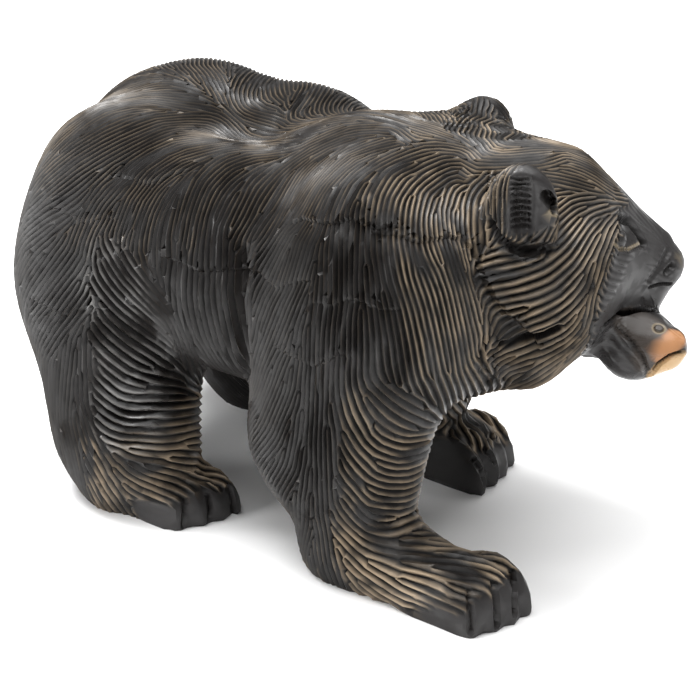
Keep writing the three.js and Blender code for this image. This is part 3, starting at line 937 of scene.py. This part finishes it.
for pixels, beyond, deep, length in SHELVES:
    for spots, facings, onward in shelf_sides(pixels, beyond):
        chosen, away, facing = near_line(points, normals, spots, facings, length)
        gap = points[chosen][:, None] - spots[None]
        link = np.linalg.norm(gap, axis=2).argmin(1)
        past = gap[np.arange(len(chosen)), link] @ onward + JAG * stroke[chosen]
        step = np.clip(past / STEP_LENGTH, 0, 1) * np.clip(1 - past / length, 0, 1)
        ramp = step * np.clip(2 - 2 * away, 0, 1)
        carved[chosen] -= facing * (deep * ramp)[:, None]
print("deepest point", round(np.linalg.norm(points - carved, axis=1).max(), 2), "mm")

# %% Keep the soles flat
SOLE = 0.8
carved[:, 2] = np.where(points[:, 2] < SOLE, 0, np.maximum(carved[:, 2], 0))
print("points on the floor", int((carved[:, 2] == 0).sum()))

# %% [markdown]
# ## Where the finish changes
# On the real carving the salmon's skin, its two jaws and the ring round its eye are painted, the
# bear's lower lid is rubbed bare and its thigh is polished; on the thigh a painted sheen also
# lightens the colour. Each is a soft-edged patch around a line in the picture.

# %% Patches of the finish
SOFT_EDGE = 3
RING_EDGE = 1.5
TEAR = 0.7
SALMON_ABOVE = (-66, -25.5)
SALMON_AHEAD = 42
SALMON_LEFT = (-60, 8)
BARE = 0.3


def patch(pixels, width):
    """A soft-edged patch around a line in the picture, 1 in its middle."""
    chain = trace(pixels, KNIFE_STEP)
    mask = np.zeros(len(points))
    if chain:
        spots, facings = (np.array(column) for column in zip(*chain))
        chosen, away, _ = near_line(points, normals, spots, facings, width)
        mask[chosen] = np.clip((1 - away) * SOFT_EDGE, 0, 1)
    return mask


def ring(pixels, radius, width):
    """A soft-edged ring around one spot."""
    spot = np.array(on_block(*pixels)[0])
    off = np.abs(np.linalg.norm(points - spot, axis=1) - radius)
    return np.clip(RING_EDGE - off / width, 0, 1)


on_head = points - HEAD_AT
ahead, left, above = on_head @ HEAD_AHEAD, on_head @ HEAD_LEFT, on_head[:, 2]
salmon = (depth < BARE) & (ahead > SALMON_AHEAD)
salmon &= (above > SALMON_ABOVE[0]) & (above < SALMON_ABOVE[1])
salmon &= (left > SALMON_LEFT[0]) & (left < SALMON_LEFT[1])
salmon = salmon.astype(float)
salmon_head = patch([(632, 322), (650, 330), (655, 345), (650, 362)], 11.0) * salmon
jaw_top = patch([(679, 336), (672, 342), (662, 354)], 6.5) * salmon
jaw_low = patch([(656, 376), (664, 370), (680, 362)], 6.5) * salmon
rims = ring((659, 328), 3.0, 0.6) * salmon
rims += patch([(616, 243), (621, 249), (630, 249), (640, 243)], 1.3)
rims += patch([(550, 213), (558, 215)], 1.6)
rims += TEAR * patch([(680, 256), (681, 264)], 2.0)
# The thigh: its polish makes it glossier, and the same patch paints a lighter sheen into its colour
polish_and_painted_sheen = patch([(110, 280), (125, 320), (135, 370), (125, 420)], 24.0)
print("salmon", int(salmon.sum()), "points")

# %% [markdown]
# ## The finished mesh
# The carved points become a mesh, and each keeps its numbers for the stain. The mesh is then
# thinned to fewer triangles. It keeps them where they matter: along the ridges, and most of all on
# the head.

# %% Build the mesh from the carved points
mesh = bpy.data.meshes.new("carved_bear_fur")
mesh.vertices.add(len(carved))
mesh.vertices.foreach_set("co", (carved * MM).astype(np.float32).ravel())
mesh.loops.add(triangles.size)
mesh.loops.foreach_set("vertex_index", triangles.astype(np.int32).ravel())
mesh.polygons.add(len(triangles))
mesh.polygons.foreach_set("loop_start", np.arange(0, triangles.size, 3, dtype=np.int32))
mesh.update(calc_edges=True)
print("valid", not mesh.validate())

# %% Keep the numbers that the stain reads
SMOOTH_FADE = 3
SALMON_GLOSS = 0.8
on_points = {
    "groove": groove,
    "tan": tan,
    "streak": streak,
    "smooth": np.clip(1 - depth * SMOOTH_FADE, 0, 1),
    "stroke": stroke,
    "gloss": np.clip(polish_and_painted_sheen + SALMON_GLOSS * salmon, 0, 1),
    # The thigh patch, which the stain also reads as a painted sheen
    "polish_and_painted_sheen": polish_and_painted_sheen,
    "cut": cut_depth,
    "salmon_head": salmon_head,
    "jaw_top": jaw_top,
    "jaw_low": jaw_low,
    "ring": np.clip(rims, 0, 1),
}
for name, values in on_points.items():
    layer = mesh.attributes.new(name, "FLOAT", "POINT")
    layer.data.foreach_set("value", values.astype(np.float32))
bear.data = mesh
print(len(on_points), "numbers on each point")

# %% Thin the mesh, least around the knife work of the head
PIECE_TRIANGLES = 194000
HEAD_MARGIN = 1
HEAD_THINNING = 0.15
SHARP_ANGLE = math.radians(28)
fine = np.zeros(len(points), bool)
for line in head_lines:
    reach = line.width + HEAD_MARGIN
    fine[near_line(points, normals, line.spots, line.facings, reach)[0]] = True
plain = bear.vertex_groups.new(name="plain")
plain.add(np.flatnonzero(~fine).tolist(), 1.0, "REPLACE")
plain.add(np.flatnonzero(fine).tolist(), HEAD_THINNING, "REPLACE")
apply_modifier(bear, "DECIMATE", ratio=PIECE_TRIANGLES / len(triangles), vertex_group="plain")
select_only(bear)
bpy.ops.object.shade_smooth_by_angle(angle=SHARP_ANGLE)
print("bear", len(bear.data.polygons), "triangles")

# %% [markdown]
# ## Stain and worn tops
# The whole bear is stained black-brown and waxed. Pale wood shows where the tops of the strokes are
# rubbed. The salmon's jaws are left almost bare. The groove bottoms are darker, partly as thicker
# stain and partly as painted shade, and the polished thigh gets a painted sheen. One material does it
# all from the numbers that the carving left on each point, so the finish follows the cuts from any
# side.

# %% A small board for shader maths


class Wire:
    """One output of a shader node. Ordinary maths on wires adds Math nodes."""

    def __init__(self, board, socket):
        self.board, self.socket = board, socket

    def __add__(self, other):
        return self.board.maths("ADD", self, other)

    def __radd__(self, other):
        return self.board.maths("ADD", other, self)

    def __sub__(self, other):
        return self.board.maths("SUBTRACT", self, other)

    def __rsub__(self, other):
        return self.board.maths("SUBTRACT", other, self)

    def __mul__(self, other):
        return self.board.maths("MULTIPLY", self, other)

    def __rmul__(self, other):
        return self.board.maths("MULTIPLY", other, self)


class Board:
    """The node tree of one material."""

    def __init__(self, name):
        self.material = bpy.data.materials.new(name)
        self.material.use_nodes = True
        self.tree = self.material.node_tree
        self.shader = self.tree.nodes["Principled BSDF"]

    def plug(self, socket, value):
        """A wire is linked, anything else is set on the socket."""
        if isinstance(value, Wire):
            self.tree.links.new(value.socket, socket)
        else:
            socket.default_value = value

    def add(self, kind, settings=None, sockets=None, out=0):
        """Any node: its type, its settings, then the values or wires of its sockets."""
        made = self.tree.nodes.new("ShaderNode" + kind)
        for name, value in (settings or {}).items():
            setattr(made, name, value)
        for key, value in (sockets or {}).items():
            self.plug(made.inputs[key], value)
        return Wire(self, made.outputs[out])

    def maths(self, operation, first, second):
        return self.add("Math", {"operation": operation}, {0: first, 1: second})

    def number(self, name):
        """The number that the carving left on each point under this name."""
        return self.add("Attribute", {"attribute_name": name}, out="Fac")

    def between(self, value, low, high):
        """0 below low, 1 above high, smooth between. It turns round where low is above high."""
        settings = {"interpolation_type": "SMOOTHSTEP"}
        return self.add("MapRange", settings, {"Value": value, "From Min": low, "From Max": high})

    def blend(self, factor, first, second):
        """A colour between two colours."""
        return self.add("Mix", {"data_type": "RGBA"}, {0: factor, 6: first, 7: second}, out=2)

    def speckle(self, scale, detail=3.0):
        """Noise in the object's own space, around 0.5."""
        place = self.add("TexCoord", out="Object")
        sockets = {"Vector": place, "Scale": scale, "Detail": detail}
        return self.add("TexNoise", None, sockets, out="Fac")


# %% The colours
STAIN = (0.0100, 0.0082, 0.0074, 1)
# Darker stain for the groove bottoms with painted shade in it, standing in for the shadow in the
# grooves
GROOVE_STAIN_AND_SHADE = (0.0025, 0.0021, 0.0020, 1)
WORN = (0.370, 0.285, 0.195, 1)
# A painted sheen: a lighter grey that stands in for the highlights on the polished thigh
PAINTED_SHEEN = (0.150, 0.145, 0.140, 1)
POLISHED = (0.028, 0.026, 0.026, 1)
SALMON_GREY = (0.055, 0.046, 0.040, 1)
SALMON_RING = (0.200, 0.160, 0.105, 1)
JAW_ORANGE = (0.420, 0.205, 0.095, 1)
JAW_CREAM = (0.560, 0.370, 0.190, 1)
SPECULAR = 0.36

# %% How far each top is rubbed
stain = Board("stained_wood")
groove = stain.number("groove")
tan = stain.number("tan")
patchy = stain.between(stain.speckle(60.0), 0.30, 0.60)
# A bright line along the crest, and a fainter wash on both of its flanks
crest = stain.between(groove, 0.16 + 0.36 * tan, 0.02 + 0.16 * tan)
wash = stain.between(groove, 0.30 + 0.62 * tan, 0.10 + 0.30 * tan)
rubbed = stain.between(tan, 0.0, 0.75) * stain.between(stain.number("streak"), -1.8, 0.8)
rubbed = rubbed * stain.between(stain.number("stroke"), -2.6, 0.4)
worn = rubbed * (0.50 * crest + 0.50 * wash) * (0.45 + 0.55 * patchy)

# %% Lay the colours over each other
# The groove bottoms go darker: partly thicker stain, partly painted shade for the shadow in the
# grooves
colour = stain.blend(stain.between(groove, 0.35, 0.95), STAIN, GROOVE_STAIN_AND_SHADE)
colour = stain.blend(worn, colour, WORN)
# Painted sheen on the thigh's stroke tops, standing in for the highlights on its polish
painted_sheen = stain.number("polish_and_painted_sheen") * stain.between(groove, 0.55, 0.15) * patchy
colour = stain.blend(painted_sheen * 0.85, colour, PAINTED_SHEEN)
colour = stain.blend(stain.number("smooth") * 0.8, colour, POLISHED)
for name, paint in (
    ("salmon_head", SALMON_GREY),
    ("jaw_top", JAW_ORANGE),
    ("jaw_low", JAW_CREAM),
    ("ring", SALMON_RING),
):
    colour = stain.blend(stain.number(name), colour, paint)
colour = stain.blend(stain.between(stain.number("cut"), 1.0, 2.6), colour, STAIN)

# %% Waxed tops, dull grooves
glint = stain.between(stain.speckle(150.0, 2.0), 0.42, 0.60)
dull = 0.24 + 0.26 * worn + 0.12 * glint + 0.40 * groove
stain.plug(stain.shader.inputs["Base Color"], colour)
stain.plug(stain.shader.inputs["Roughness"], dull * (1 - 0.45 * stain.number("gloss")))
stain.plug(stain.shader.inputs["Specular IOR Level"], SPECULAR)
bear.data.materials.clear()
bear.data.materials.append(stain.material)
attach(bear, "root")
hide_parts("carved_bear")
print("stain", len(stain.tree.nodes), "nodes")

# %% [markdown]
# ## Floor and lights
# The bear stands on pale paper in a bright room. A wide lamp overhead fills everything. A smaller
# one, high behind the bear and to the left of the picture, throws the soft shadow. Two more, lower
# down, put a sheen on the right flank.

# %% Floor
FLOOR_SIZE = 8
FLOOR_COLOUR = (0.97, 0.97, 0.97, 1)
FLOOR_ROUGHNESS = 0.9
bpy.ops.mesh.primitive_plane_add(size=FLOOR_SIZE, location=(0, 0, 0))
floor = bpy.context.active_object
floor.name = "floor"
paper = bpy.data.materials.new("pale_floor")
paper.use_nodes = True
sheet = paper.node_tree.nodes["Principled BSDF"].inputs
sheet["Base Color"].default_value = FLOOR_COLOUR
sheet["Roughness"].default_value = FLOOR_ROUGHNESS
floor.data.materials.append(paper)

# %% Lights
AIM = Vector((0, 0, 0.1))
WORLD_STRENGTH = 0.32
# Each lamp: name, place and size in metres, power in watts
LAMPS = [
    ("key", (-0.50, -0.10, 1.4), 0.6, 24),
    ("side", (-0.75, -1.1, 0.75), 0.4, 7),
    ("low", (-1.10, -0.75, 0.25), 0.35, 8),
    ("top", (0.1, 0.2, 1.8), 2.2, 55),
]


def soft_light(name, place, size, power):
    """A square lamp that looks at the bear."""
    lamp = bpy.data.objects.new(name, bpy.data.lights.new(name, "AREA"))
    lamp.data.size = size
    lamp.data.energy = power
    lamp.location = place
    lamp.rotation_mode = "QUATERNION"
    lamp.rotation_quaternion = (AIM - Vector(place)).to_track_quat("-Z", "Y")
    bpy.context.scene.collection.objects.link(lamp)


for lamp in LAMPS:
    soft_light(*lamp)
world = bpy.data.worlds.new("studio")
bpy.context.scene.world = world
world.use_nodes = True
sky = world.node_tree.nodes["Background"].inputs
sky["Color"].default_value = (1, 1, 1, 1)
sky["Strength"].default_value = WORLD_STRENGTH
bpy.context.scene.view_settings.view_transform = "Standard"
print(len(LAMPS), "lamps")
